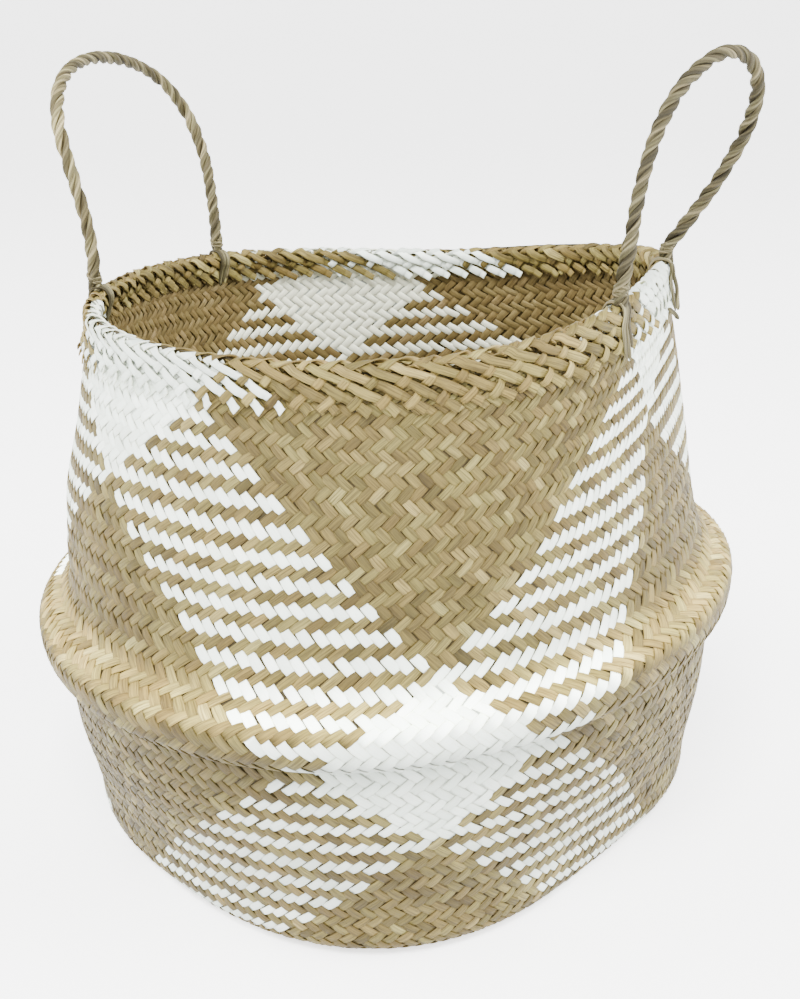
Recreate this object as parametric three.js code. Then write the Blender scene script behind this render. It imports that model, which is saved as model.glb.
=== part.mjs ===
// Woven belly basket with two rope handles. Millimetres, +Z up.
// The origin is the middle of the flat underside. The handles stand over +X and -X.
// The body is one cloth: a flat base, a lower wall, a belly that bulges over a crease,
// and an upper wall that runs up to the mouth. A doubled border stiffens the rim.

import * as THREE from 'three';

// Body, as seen in profile: mean outer radius and height of each level.
const baseRadius = 154;
const footRadius = 164;
const footHeight = 27;
const creaseRadius = 179.5;
const creaseHeight = 111.5;
const bellyRadius = 189;
const bellyHeight = 133;
const shoulderRadius = 173;
const shoulderHeight = 144;
const waistRadius = 160;
const waistHeight = 200;
const neckRadius = 152.5;
const neckHeight = 238;
const mouthRadius = 143.5;
const bodyHeight = 278.5;
const wallThickness = 3.2;
const baseThickness = 3.4;

// The crossing strips make the wall stand in tops and hollows, on a slanting grid.
const weaveRelief = 1.4;

// Plan of the body: how far it leaves a circle, as shares of the radius, and where it is widest.
const baseSquareness = 0.045;
const baseCornerBearing = 18;
const mouthSquareness = 0.038;
const mouthCornerBearing = 42;
const bellyOval = 0.045;
const bellyOvalBearing = 77;

// The rim is pulled up under the handles, the mouth sways a little, and the middles of the
// belly and the mouth stand a little off the middle of the base.
const rimLift = 6.7;
const rimLiftBearing = 5;
const mouthTilt = 5;
const mouthTiltBearing = -37;
const bellyOffset = { x: 1.9, y: 1 };
const mouthOffset = { x: 3, y: -0.2 };

// Doubled border at the rim.
const borderHeight = 15;
const innerBorderHeight = 14.5;
const borderThickness = 2.4;
const borderTeeth = 72;
const borderToothDepth = 3.6;
const edgeWidth = 10.4;
const edgeThickness = 5.2;
const fitGap = 0.3;

// Handles: three-ply ropes. Each leans or curls outwards and is a little twisted.
const ropeDiameter = 7.2;
const ropePlies = 3;
const ropeLay = 28;
const plyGap = 0.35;
const hitchRadius = 4.4;
const hitchOut = 2.5;
const leftHandle = {
  side: -1,
  span: 123,
  shift: 11,
  height: 103,
  fullness: 0.58,
  bulge: 0.53,
  skew: -5.5,
  lean: -1,
  curl: 27,
  twist: 0.1,
};
const rightHandle = {
  side: 1,
  span: 86,
  shift: -17,
  height: 95,
  fullness: 0.45,
  bulge: -0.36,
  skew: 0,
  lean: 25,
  curl: -11,
  twist: 0.61,
};

// Foot lashings: the strand ends that go over the rim and down the border.
const lashingWidth = 9;
const lashingThickness = 1.7;
const lashingGap = 0.5;
const lashingOutside = 17.5;
const lashingInside = 14;

const tailDiameter = 3.4;
const tailLength = 17;
const stubLength = 9;

// How finely the surfaces are divided.
const wallColumns = 72;
const wallStepsPerStretch = 2;
const bandRows = 2;
const ropeStepsPerTurn = 7;
const plySides = 5;

const degrees = Math.PI / 180;
const fullTurn = 2 * Math.PI;

function mix(from, to, share) {
  return from + (to - from) * share;
}

// How far a value is on its way from start to end, eased, from 0 to 1.
function smoothShare(value, start, end) {
  const share = Math.min(1, Math.max(0, (value - start) / (end - start)));
  return share * share * (3 - 2 * share);
}

// The radius at a bearing over the mean radius: oval and four-cornered parts that change with height.
function planFactor(bearing, height) {
  const towardsMouth = smoothShare(height, bellyHeight, bodyHeight);
  const towardsBase = 1 - smoothShare(height, 0, bellyHeight);
  const oval = bellyOval * (1 - towardsMouth) * Math.cos(2 * (bearing - bellyOvalBearing * degrees));
  const baseCorners = baseSquareness * towardsBase * Math.cos(4 * (bearing - baseCornerBearing * degrees));
  const mouthCorners = mouthSquareness * smoothShare(height, bellyHeight, neckHeight)
    * Math.cos(4 * (bearing - mouthCornerBearing * degrees));
  return 1 + oval + baseCorners + mouthCorners;
}

// How far the cloth at a height is lifted by the pull of the handles and the sway of the mouth.
function rise(bearing, height) {
  const share = smoothShare(height, 0, bodyHeight);
  const lift = rimLift * Math.cos(2 * (bearing - rimLiftBearing * degrees));
  const sway = mouthTilt * Math.cos(bearing - mouthTiltBearing * degrees);
  return (lift + sway) * share;
}

// How far the middle of a level stands off the middle of the base, along one axis.
function offsetAt(height, axis) {
  if (height < bellyHeight) return bellyOffset[axis] * Math.max(0, height / bellyHeight);
  const share = Math.min(1, (height - bellyHeight) / (bodyHeight - bellyHeight));
  return mix(bellyOffset[axis], mouthOffset[axis], share);
}

// A point of the profile, given as mean radius and height, turned to a bearing.
function atBearing(profilePoint, bearing) {
  const { x: meanRadius, y: height } = profilePoint;
  const radius = meanRadius * planFactor(bearing, height);
  return new THREE.Vector3(
    radius * Math.cos(bearing) + offsetAt(height, 'x'),
    radius * Math.sin(bearing) + offsetAt(height, 'y'),
    height + rise(bearing, height),
  );
}

// Outer profile of the cloth: two smooth runs that meet in the crease under the belly.
function smoothRun(points) {
  const curve = new THREE.CatmullRomCurve3(
    points.map(([radius, height]) => new THREE.Vector3(radius, height, 0)),
    false,
    'centripetal',
  );
  const steps = wallStepsPerStretch * (points.length - 1);
  return curve.getPoints(steps).map((point) => new THREE.Vector2(point.x, point.y));
}

function outerProfile() {
  const lowerRun = smoothRun([
    [baseRadius, 0],
    [mix(baseRadius, footRadius, 0.66), footHeight * 0.19],
    [footRadius, footHeight],
    [mix(footRadius, creaseRadius, 0.62), mix(footHeight, creaseHeight, 0.5)],
    [creaseRadius, creaseHeight],
  ]);
  const upperRun = smoothRun([
    [creaseRadius, creaseHeight],
    [mix(creaseRadius, bellyRadius, 0.84), mix(creaseHeight, bellyHeight, 0.5)],
    [bellyRadius, bellyHeight],
    [shoulderRadius, shoulderHeight],
    [waistRadius, waistHeight],
    [neckRadius, neckHeight],
    [mouthRadius, bodyHeight],
  ]);
  return [...lowerRun, ...upperRun.slice(1)];
}

// The cloth's profile moved off the outer face: inwards for a positive distance.
function movedIn(profile, distance) {
  return profile.map((point, index) => {
    const before = profile[Math.max(0, index - 1)];
    const after = profile[Math.min(profile.length - 1, index + 1)];
    const along = new THREE.Vector2().subVectors(after, before).normalize();
    return new THREE.Vector2(point.x - along.y * distance, point.y + along.x * distance);
  });
}

// The profile between two heights, cut to them exactly and divided evenly.
function profilePart(profile, lowest, highest, rows) {
  const radiusAt = (height) => {
    const index = Math.max(1, profile.findIndex((point) => point.y >= height - 1e-9));
    const [below, above] = [profile[index - 1], profile[index]];
    return mix(below.x, above.x, (height - below.y) / (above.y - below.y));
  };
  return Array.from({ length: rows + 1 }, (unused, row) => {
    const height = mix(lowest, highest, row / rows);
    return new THREE.Vector2(radiusAt(height), height);
  });
}

// Geometry from rings of points that follow each other. Seen from the next ring, each
// ring runs anticlockwise. Poles close the ends; without them the last ring joins the first.
function geometryFromRings(rings, poles) {
  const size = rings[0].length;
  const positions = rings.flat().flatMap((point) => [point.x, point.y, point.z]);
  const triangles = [];
  const joined = poles ? rings.length - 1 : rings.length;
  for (let ring = 0; ring < joined; ring += 1) {
    const start = ring * size;
    const next = ((ring + 1) % rings.length) * size;
    for (let step = 0; step < size; step += 1) {
      const turn = (step + 1) % size;
      triangles.push(start + step, start + turn, next + turn);
      triangles.push(start + step, next + turn, next + step);
    }
  }
  if (poles) {
    const firstPole = positions.length / 3;
    const lastPole = firstPole + 1;
    const lastStart = (rings.length - 1) * size;
    poles.forEach((pole) => positions.push(pole.x, pole.y, pole.z));
    for (let step = 0; step < size; step += 1) {
      const turn = (step + 1) % size;
      triangles.push(firstPole, turn, step);
      triangles.push(lastPole, lastStart + step, lastStart + turn);
    }
  }
  const geometry = new THREE.BufferGeometry();
  geometry.setAttribute('position', new THREE.Float32BufferAttribute(positions, 3));
  geometry.setIndex(triangles);
  return geometry;
}

function bearings(count) {
  return Array.from({ length: count }, (unused, index) => (index / count) * fullTurn);
}

// The middle of a ring of points, where a flat end is closed.
function middleOf(ring) {
  return ring.reduce((sum, point) => sum.add(point), new THREE.Vector3()).divideScalar(ring.length);
}

const clothOuter = outerProfile();
const clothInner = movedIn(clothOuter, wallThickness);
clothInner.at(-1).y = bodyHeight;

// A ring of the outer wall. Its places are tops and hollows in turn, and the next ring's
// are the other way about. The foot and the wall under the border are plain.
function outerRing(point, ring) {
  const underBorder = point.y > bodyHeight - borderHeight - borderToothDepth - wallThickness;
  return bearings(wallColumns).map((bearing, column) => {
    const isHollow = ring > 0 && !underBorder && (ring + column) % 2 === 0;
    const radius = isHollow ? point.x - weaveRelief : point.x;
    return atBearing(new THREE.Vector2(radius, point.y), bearing);
  });
}

function bodyGeometry() {
  const floorEdge = clothInner.findIndex((point) => point.y > baseThickness + fitGap);
  const inside = clothInner.slice(floorEdge).reverse();
  const insideFloor = new THREE.Vector2(baseRadius, baseThickness);
  const innerRings = [...inside, insideFloor].map((point) => (
    bearings(wallColumns).map((bearing) => atBearing(point, bearing))
  ));
  const rings = [...clothOuter.map(outerRing), ...innerRings];
  const poles = [new THREE.Vector3(0, 0, 0), new THREE.Vector3(0, 0, baseThickness)];
  return geometryFromRings(rings, poles);
}

// A band that runs round the rim. Its section goes up the inner face and down the outer one.
function ringGeometry(columns, facesAt) {
  const rings = bearings(columns).map((bearing, column) => {
    const [innerFace, outerFace] = facesAt(column);
    const section = [...innerFace, ...outerFace.toReversed()];
    return section.map((point) => atBearing(point, bearing));
  });
  return geometryFromRings(rings, null);
}

function belowRim(profile) {
  return profile.map((point) => new THREE.Vector2(point.x, Math.min(point.y, bodyHeight)));
}

// The turned strip ends outside: cut ends make the lower edge a row of teeth.
function outerBandFaces(column) {
  const tooth = column % 2 === 0 ? borderToothDepth : 0;
  const cloth = profilePart(clothOuter, bodyHeight - borderHeight - tooth, bodyHeight, bandRows);
  return [belowRim(movedIn(cloth, -fitGap)), belowRim(movedIn(cloth, -fitGap - borderThickness))];
}

function innerBandFaces() {
  const cloth = profilePart(clothInner, bodyHeight - innerBorderHeight, bodyHeight, bandRows);
  return [belowRim(movedIn(cloth, fitGap + borderThickness)), belowRim(movedIn(cloth, fitGap))];
}

// The twisted edge lies on the wall and both bands: flat below, rounded above.
// Its section, across and up from the middle of the wall, swells by the distance given.
const wallMiddleRadius = mouthRadius - wallThickness / 2;

function edgeSection(swell) {
  const halfWidth = edgeWidth / 2 + swell;
  const top = edgeThickness + swell;
  const outline = [[-0.86, 0], [-1, 0.36], [-0.62, 0.86], [0, 1], [0.62, 0.86], [1, 0.36], [0.86, 0]];
  return outline.map(([across, up]) => new THREE.Vector2(across * halfWidth, up * top));
}

function edgeFaces() {
  const seat = bodyHeight + fitGap;
  const toRim = new THREE.Vector2(wallMiddleRadius, seat);
  const section = edgeSection(0).map((point) => point.add(toRim));
  return [section.slice(0, 3), section.slice(3).toReversed()];
}

// The place on the rim where a foot stands: the middle of the wall, with axes out of the
// basket, up, and along the rim clockwise as seen from above.
function rimPlace(bearing) {
  const rimPoint = new THREE.Vector2(wallMiddleRadius, bodyHeight);
  const step = 0.5 * degrees;
  const along = atBearing(rimPoint, bearing - step).sub(atBearing(rimPoint, bearing + step)).normalize();
  const outwards = new THREE.Vector3(0, 0, 1).cross(along).normalize();
  const up = new THREE.Vector3().crossVectors(along, outwards);
  return { bearing, origin: atBearing(rimPoint, bearing), outwards, up, along };
}

// The bearing at which the rim's middle line stands at a given place along Y.
function rimBearingAtY(side, y) {
  const rimPoint = new THREE.Vector2(wallMiddleRadius, bodyHeight);
  let bearing = side > 0 ? 0 : Math.PI;
  for (let pass = 0; pass < 20; pass += 1) {
    const miss = y - atBearing(rimPoint, bearing).y;
    bearing += (side * miss) / wallMiddleRadius;
  }
  return bearing;
}

// A strap of strands bent over the rim edge and down both bands. Its inner face follows
// what it lies on: the farthest reach of the border and edge across the strap's width.
function lashingPath(place) {
  const halfTurn = lashingWidth / 2 / mouthRadius;
  const inPlace = (point, clearance) => {
    const across = [-1, 0, 1].map((step) => (
      atBearing(point, place.bearing + step * halfTurn).sub(place.origin).dot(place.outwards)
    ));
    const reach = clearance < 0 ? Math.min(...across) : Math.max(...across);
    const height = atBearing(point, place.bearing).sub(place.origin).dot(place.up);
    return new THREE.Vector2(reach + clearance, height);
  };
  const legTop = bodyHeight - edgeThickness;
  const outerCloth = profilePart(clothOuter, bodyHeight - lashingOutside, legTop, bandRows);
  const innerCloth = profilePart(clothInner, bodyHeight - lashingInside, legTop, bandRows);
  const bandDepth = fitGap + borderThickness;
  const outerLeg = movedIn(outerCloth, -bandDepth).map((point) => inPlace(point, lashingGap));
  const innerLeg = movedIn(innerCloth, bandDepth).map((point) => inPlace(point, -lashingGap)).reverse();
  const overEdge = edgeSection(lashingGap).slice(1, -1).reverse().map((point) => (
    inPlace(new THREE.Vector2(wallMiddleRadius + point.x, bodyHeight + fitGap + point.y), 0)
  ));
  return [...outerLeg, ...overEdge, ...innerLeg];
}

function lashingGeometry(place) {
  const near = lashingPath(place);
  const far = movedIn(near, -lashingThickness).reverse();
  const outline = new THREE.Shape([...near, ...far]);
  const geometry = new THREE.ExtrudeGeometry(outline, { depth: lashingWidth, bevelEnabled: false });
  geometry.translate(0, 0, -lashingWidth / 2);
  return geometry;
}

// The middle line of a handle's rope, in the handle's own frame: X along the line between
// the feet, Y out of the basket, Z up. It starts and ends just clear of the foot hitches.
class HandleLine extends THREE.Curve {
  constructor(handle, span) {
    super();
    this.handle = handle;
    this.span = span;
    this.startAngle = this.turnClearOfFoot(0, 1);
    this.endAngle = Math.PI - this.turnClearOfFoot(Math.PI, -1);
  }

  pointAt(angle) {
    const { side, height, fullness, bulge, skew, lean, curl, twist } = this.handle;
    const widening = 1 + bulge * Math.sin(angle);
    const along = (-this.span / 2) * Math.cos(angle) * widening + skew * Math.sin(angle);
    const up = height * Math.sin(angle) ** fullness;
    const share = up / height;
    const towardsBack = -side * along;
    const out = up * Math.tan(lean * degrees) + curl * share ** 2 + twist * towardsBack * share;
    return new THREE.Vector3(along, out, up);
  }

  // How far round from a foot the rope's square end first clears the hitch there.
  turnClearOfFoot(footAngle, direction) {
    const foot = new THREE.Vector3((-direction * this.span) / 2, 0, 0);
    const step = 1e-4;
    let [low, high] = [step, Math.PI / 4];
    for (let pass = 0; pass < 40; pass += 1) {
      const middle = (low + high) / 2;
      const point = this.pointAt(footAngle + direction * middle);
      const heading = this.pointAt(footAngle + direction * (middle + step)).sub(point).normalize();
      if (point.sub(foot).dot(heading) < hitchRadius + fitGap) low = middle;
      else high = middle;
    }
    return high;
  }

  getPoint(share, target = new THREE.Vector3()) {
    return target.copy(this.pointAt(mix(this.startAngle, this.endAngle, share)));
  }
}

// Plies of a laid rope: each winds round the middle line a third of a turn from the next.
const layCircle = (() => {
  const pack = Math.sin(Math.PI / ropePlies) * Math.cos(Math.atan2(Math.PI * ropeDiameter * 0.58, ropeLay));
  const plyRadius = (pack * (ropeDiameter / 2) - plyGap / 2) / (1 + pack);
  return { plyRadius, windingRadius: ropeDiameter / 2 - plyRadius };
})();

function plyGeometry(line, ply) {
  const turns = line.getLength() / ropeLay;
  const steps = Math.round(turns * ropeStepsPerTurn);
  const sideways = new THREE.Vector3(0, 1, 0);
  const rings = Array.from({ length: steps + 1 }, (unused, step) => {
    const share = step / steps;
    const centre = line.getPointAt(share);
    const tangent = line.getTangentAt(share);
    const first = sideways.clone().addScaledVector(tangent, -sideways.dot(tangent)).normalize();
    const second = new THREE.Vector3().crossVectors(tangent, first);
    const phase = fullTurn * (turns * share + ply / ropePlies);
    const towards = (angle) => (
      new THREE.Vector3().addScaledVector(first, Math.cos(angle)).addScaledVector(second, Math.sin(angle))
    );
    const plyCentre = centre.clone().addScaledVector(towards(phase), layCircle.windingRadius);
    return Array.from({ length: plySides }, (side, corner) => {
      const angle = phase + (fullTurn * corner) / plySides;
      return plyCentre.clone().addScaledVector(towards(angle), layCircle.plyRadius);
    });
  });
  return geometryFromRings(rings, [middleOf(rings[0]), middleOf(rings.at(-1))]);
}

// The turns of strand that bind the plies at a foot: a rounded barrel along the hinge line.
function hitchGeometry() {
  const halfLength = hitchRadius * 0.9;
  const profile = Array.from({ length: 7 }, (unused, index) => {
    const angle = mix(-Math.PI / 2, Math.PI / 2, index / 6);
    return new THREE.Vector2(hitchRadius * Math.cos(angle) ** 0.8, halfLength * Math.sin(angle));
  });
  profile[0].x = 0;
  profile.at(-1).x = 0;
  const geometry = new THREE.LatheGeometry(profile, 12);
  geometry.rotateZ(Math.PI / 2);
  return geometry;
}

const tan = 0xb9a273;
const paleTan = 0xc4b084;
const ropeTan = 0xa8946a;
const white = 0xe4e6e0;

function strandMaterial(colour, roughness) {
  return new THREE.MeshStandardMaterial({ color: colour, roughness, metalness: 0 });
}

function namedMesh(name, geometry, material) {
  const mesh = new THREE.Mesh(geometry, material);
  mesh.name = name;
  return mesh;
}

// Puts an object in a frame given by its origin and three axes.
function placeInFrame(object, origin, xAxis, yAxis, zAxis) {
  object.quaternion.setFromRotationMatrix(new THREE.Matrix4().makeBasis(xAxis, yAxis, zAxis));
  object.position.copy(origin);
  return object;
}

const basket = new THREE.Group();
basket.name = 'belly_basket';
basket.add(namedMesh('woven_body', bodyGeometry(), strandMaterial(tan, 0.8)));
const outerBand = ringGeometry(2 * borderTeeth, outerBandFaces);
basket.add(namedMesh('border_outer', outerBand, strandMaterial(white, 0.7)));
const innerBand = ringGeometry(wallColumns, innerBandFaces);
basket.add(namedMesh('border_inner', innerBand, strandMaterial(paleTan, 0.8)));
basket.add(namedMesh('rim_edge', ringGeometry(wallColumns, edgeFaces), strandMaterial(paleTan, 0.8)));

// A foot of a handle: its place on the rim, the strap laced over the rim there, and the
// middle of the hitch that stands on the strap.
function addFoot(handle, name, end) {
  const y = handle.shift + (end === 'front' ? -0.5 : 0.5) * handle.span;
  const place = rimPlace(rimBearingAtY(handle.side, y));
  const strap = namedMesh(`lashing_${name}_${end}`, lashingGeometry(place), strandMaterial(ropeTan, 0.85));
  basket.add(placeInFrame(strap, place.origin, place.outwards, place.up, place.along));
  const strapTop = fitGap + edgeThickness + lashingGap + lashingThickness;
  const seat = place.origin.clone().addScaledVector(place.outwards, hitchOut);
  return seat.addScaledVector(place.up, strapTop + fitGap + hitchRadius);
}

function addHandle(handle, name) {
  const ends = handle.side < 0 ? ['front', 'back'] : ['back', 'front'];
  const feet = ends.map((end) => addFoot(handle, name, end));
  const along = new THREE.Vector3().subVectors(feet[1], feet[0]);
  const span = along.length();
  along.normalize();
  const up = new THREE.Vector3(0, 0, 1).addScaledVector(along, -along.z).normalize();
  const outwards = new THREE.Vector3().crossVectors(up, along);
  const middle = new THREE.Vector3().addVectors(feet[0], feet[1]).multiplyScalar(0.5);
  const group = placeInFrame(new THREE.Group(), middle, along, outwards, up);
  ends.forEach((end, index) => {
    const hitch = namedMesh(`handle_${name}_hitch_${end}`, hitchGeometry(), strandMaterial(ropeTan, 0.85));
    hitch.position.x = (index - 0.5) * span;
    group.add(hitch);
  });
  const line = new HandleLine(handle, span);
  for (let ply = 0; ply < ropePlies; ply += 1) {
    const geometry = plyGeometry(line, ply);
    group.add(namedMesh(`handle_${name}_ply_${ply + 1}`, geometry, strandMaterial(ropeTan, 0.85)));
  }
  basket.add(group);
}

addHandle(leftHandle, 'left');
addHandle(rightHandle, 'right');

function roundSection(diameter, sides) {
  const corners = bearings(sides).map((angle) => new THREE.Vector2(Math.cos(angle), Math.sin(angle)));
  return new THREE.Shape(corners.map((corner) => corner.multiplyScalar(diameter / 2)));
}

// Two loose strand ends lie by the back foot of the right handle.
const backFoot = rimPlace(rimBearingAtY(rightHandle.side, rightHandle.shift + rightHandle.span / 2));

// A point off the outer band: how deep below the rim, how far clear of the band, and how
// far beside the foot.
function offBand(depth, clearance, beside) {
  const cloth = profilePart(clothOuter, bodyHeight - borderHeight, bodyHeight, borderHeight);
  const level = cloth.find((point) => point.y >= bodyHeight - depth);
  const reach = atBearing(level, backFoot.bearing).sub(backFoot.origin);
  const out = reach.dot(backFoot.outwards) + fitGap + borderThickness + clearance;
  return new THREE.Vector3(out, reach.dot(backFoot.up), beside);
}

function addStrand(name, points, steps) {
  const path = new THREE.CatmullRomCurve3(points);
  const section = roundSection(tailDiameter, 6);
  const geometry = new THREE.ExtrudeGeometry(section, { steps, extrudePath: path, bevelEnabled: false });
  const strand = namedMesh(name, geometry, strandMaterial(ropeTan, 0.85));
  basket.add(placeInFrame(strand, backFoot.origin, backFoot.outwards, backFoot.up, backFoot.along));
}

const besideStrap = (lashingWidth + tailDiameter) / 2 + fitGap;
const overEdge = (edgeWidth - wallThickness) / 2 - borderThickness;

addStrand('strand_tail', [
  offBand(0, overEdge + tailDiameter / 2, besideStrap).setY(edgeThickness),
  offBand(0, overEdge + tailDiameter / 2 + fitGap, besideStrap),
  offBand(tailLength / 2, tailDiameter, besideStrap + 1.2),
  offBand(tailLength, tailDiameter, besideStrap + 0.4),
], 8);

addStrand('strand_stub', [
  offBand(borderHeight / 2, tailDiameter * 0.8, -besideStrap),
  offBand(borderHeight / 2 + stubLength * 0.6, tailDiameter * 0.8 + stubLength * 0.8, -besideStrap),
], 2);

export default basket;
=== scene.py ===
"""Looks of the woven belly basket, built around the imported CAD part. Metres, the CAD frame."""
import math

import bpy
import numpy as np
from mathutils import Matrix, Vector


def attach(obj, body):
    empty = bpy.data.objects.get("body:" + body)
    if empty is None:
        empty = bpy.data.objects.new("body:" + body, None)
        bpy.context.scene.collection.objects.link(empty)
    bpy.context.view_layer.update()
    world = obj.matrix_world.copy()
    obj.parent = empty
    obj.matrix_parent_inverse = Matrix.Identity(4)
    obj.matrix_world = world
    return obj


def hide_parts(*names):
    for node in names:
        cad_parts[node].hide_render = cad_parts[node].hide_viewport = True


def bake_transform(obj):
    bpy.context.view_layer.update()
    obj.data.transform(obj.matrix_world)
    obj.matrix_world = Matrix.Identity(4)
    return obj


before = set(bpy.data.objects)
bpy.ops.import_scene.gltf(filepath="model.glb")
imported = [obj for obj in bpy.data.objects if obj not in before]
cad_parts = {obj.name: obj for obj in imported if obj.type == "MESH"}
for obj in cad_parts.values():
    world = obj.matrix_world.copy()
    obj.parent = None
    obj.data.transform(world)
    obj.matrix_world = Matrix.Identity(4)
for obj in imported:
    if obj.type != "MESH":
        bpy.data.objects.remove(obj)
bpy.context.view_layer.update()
random = np.random.default_rng(11)
mm = 0.001

# Camera: where the photograph was taken from. The camera's, the body's and the ropes' values were
# fitted to the photograph by the builder's own scratch scripts, and rounded.
camera_azimuth = math.radians(18.75)
camera_elevation = math.radians(22.11)
camera_roll = math.radians(-2.1)
camera_distance = 0.764
camera_aim = Vector((0.0, 0.0, 0.150))
camera_lens = 50.5
sensor_height = 36.0
camera_shift = (0.0139, 0.0270)


def add_camera():
    data = bpy.data.cameras.new("camera")
    data.sensor_fit = "VERTICAL"
    data.sensor_height = sensor_height
    data.lens = camera_lens
    data.shift_x, data.shift_y = camera_shift
    back = Vector((
        math.sin(camera_azimuth) * math.cos(camera_elevation),
        -math.cos(camera_azimuth) * math.cos(camera_elevation),
        math.sin(camera_elevation),
    ))
    level_right = Vector((0, 0, 1)).cross(back).normalized()
    level_up = back.cross(level_right)
    right = level_right * math.cos(camera_roll) + level_up * math.sin(camera_roll)
    up = back.cross(right)
    matrix = Matrix((right, up, back)).transposed().to_4x4()
    matrix.translation = camera_aim + back * camera_distance
    camera = bpy.data.objects.new("camera", data)
    camera.matrix_world = matrix
    bpy.context.scene.collection.objects.link(camera)
    bpy.context.scene.camera = camera


add_camera()

# Body: the CAD part's sizes, in millimetres.
body_height = 278.5
belly_height = 133
neck_height = 238
mouth_radius = 143.5
wall_thickness = 3.2
lower_profile = [(154, 0), (160.6, 5.13), (164, 27), (173.6, 69.25), (178.2, 112)]
upper_profile = [
    (178.2, 112), (184, 113), (187.8, 117), (189.3, 124), (188.6, 131.5), (173, 144),
    (160, 200), (152.5, 238), (143.5, 278.5),
]
base_radius = lower_profile[0][0]
corner_fillet = 7.0
corner_steps = 8
run_under_base = 60
run_past_mouth = 12

# How the plan differs from a circle: shares of the radius, and the bearings where they are greatest.
belly_oval = 0.045
belly_oval_bearing = math.radians(77)
base_squareness = 0.045
base_corner_bearing = math.radians(18)
mouth_squareness = 0.038
mouth_corner_bearing = math.radians(42)

# How the mouth's height waves and tilts, and how the body's middle shifts at base, belly and mouth.
mouth_wave = 6.7
mouth_wave_bearing = math.radians(5)
mouth_tilt = 5
mouth_tilt_bearing = math.radians(-37)
middle_heights = (0, belly_height, body_height)
middle_x = (0, 1.9, 3)
middle_y = (0, 1, -0.2)

# The neck stands out a little more on the side that is left in the photograph.
flare_out = 4.5
flare_bearing = math.radians(-161)
flare_heights = (140, 168, 190, 235)


def unit(vectors):
    return vectors / np.maximum(np.linalg.norm(vectors, axis=-1, keepdims=True), 1e-9)


def length_along(points):
    """The length run along each line. The last two axes are station and coordinate."""
    steps = np.linalg.norm(np.diff(points, axis=-2), axis=-1)
    return np.concatenate([np.zeros(steps.shape[:-1] + (1,)), np.cumsum(steps, axis=-1)], -1)


def point_at(places, run, points):
    """Points of a line at some places of its run."""
    return np.stack([np.interp(places, run, column) for column in points.T], -1)


def smooth_share(value, start, end):
    share = np.clip((value - start) / (end - start), 0, 1)
    return share * share * (3 - 2 * share)


def smooth_run(points, steps=24):
    """A centripetal Catmull-Rom line through the points, as three.js draws it."""
    points = np.asarray(points, float)
    padded = np.vstack([2 * points[0] - points[1], points, 2 * points[-1] - points[-2]])
    out = []
    share = np.linspace(0, 1, steps, endpoint=False)[:, None]
    for p0, p1, p2, p3 in zip(padded, padded[1:], padded[2:], padded[3:]):
        d0, d1, d2 = (max(np.linalg.norm(b - a) ** 0.5, 1e-4) for a, b in ((p0, p1), (p1, p2), (p2, p3)))
        t1 = ((p1 - p0) / d0 - (p2 - p0) / (d0 + d1) + (p2 - p1) / d1) * d1
        t2 = ((p2 - p1) / d1 - (p3 - p1) / (d1 + d2) + (p3 - p2) / d2) * d1
        out.append(p1 + t1 * share + (3 * (p2 - p1) - 2 * t1 - t2) * share ** 2
                   + (2 * (p1 - p2) + t1 + t2) * share ** 3)
    return np.vstack(out + [points[-1:]])


def make_profile():
    """Radius and height of the outer face by the distance run up from the base's edge."""
    line = np.vstack([smooth_run(lower_profile)[:-1], smooth_run(upper_profile)])
    run = length_along(line)
    above = run > corner_fillet
    start = np.array([base_radius - corner_fillet, 0.0])
    end = line[above][0]
    share = np.linspace(0, 1, corner_steps, endpoint=False)[:, None]
    corner = start * (1 - share) ** 2 + 2 * share * (1 - share) * line[0] + end * share ** 2
    corner_run = np.linspace(-corner_fillet, run[above][0], corner_steps, endpoint=False)
    line = np.vstack([[base_radius - run_under_base, 0], corner, line[above], line[-1] + (0, run_past_mouth)])
    run = np.r_[-run_under_base, corner_run, run[above], run[-1] + run_past_mouth]
    return run, line[:, 0], line[:, 1]


profile_run, profile_radius, profile_z = make_profile()


def wall_radius(height):
    """The mean radius of the wall's outer face at a height."""
    return np.interp(height, profile_z, profile_radius)


def plan_waves(height):
    """Size, number of lobes and bearing of each wave by which the plan differs from a circle."""
    return (
        (belly_oval * (1 - smooth_share(height, belly_height, body_height)), 2, belly_oval_bearing),
        (base_squareness * (1 - smooth_share(height, 0, belly_height)), 4, base_corner_bearing),
        (mouth_squareness * smooth_share(height, belly_height, neck_height), 4, mouth_corner_bearing),
    )


def plan_share(bearing, height):
    """The radius at a bearing over the mean radius."""
    return 1 + sum(size * np.cos(lobes * (bearing - peak)) for size, lobes, peak in plan_waves(height))


def even_bearing(angle, height):
    """The bearing at which equal steps of angle give equal steps along the plan."""
    waves = plan_waves(height)
    return angle - sum(size * np.sin(lobes * (angle - peak)) / lobes for size, lobes, peak in waves)


def on_body(mean_radius, height, bearing):
    """A point of the body, in millimetres, from mean radius, height and bearing."""
    lift = (mouth_wave * np.cos(2 * (bearing - mouth_wave_bearing))
            + mouth_tilt * np.cos(bearing - mouth_tilt_bearing))
    flare = flare_out * np.maximum(np.cos(bearing - flare_bearing), 0) ** 3
    low, full, still_full, high = flare_heights
    flare = flare * smooth_share(height, low, full) * (1 - smooth_share(height, still_full, high))
    radius = mean_radius * plan_share(bearing, height) + flare
    return np.stack([
        radius * np.cos(bearing) + np.interp(height, middle_heights, middle_x),
        radius * np.sin(bearing) + np.interp(height, middle_heights, middle_y),
        height + lift * smooth_share(height, 0, body_height),
    ], -1)


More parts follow.
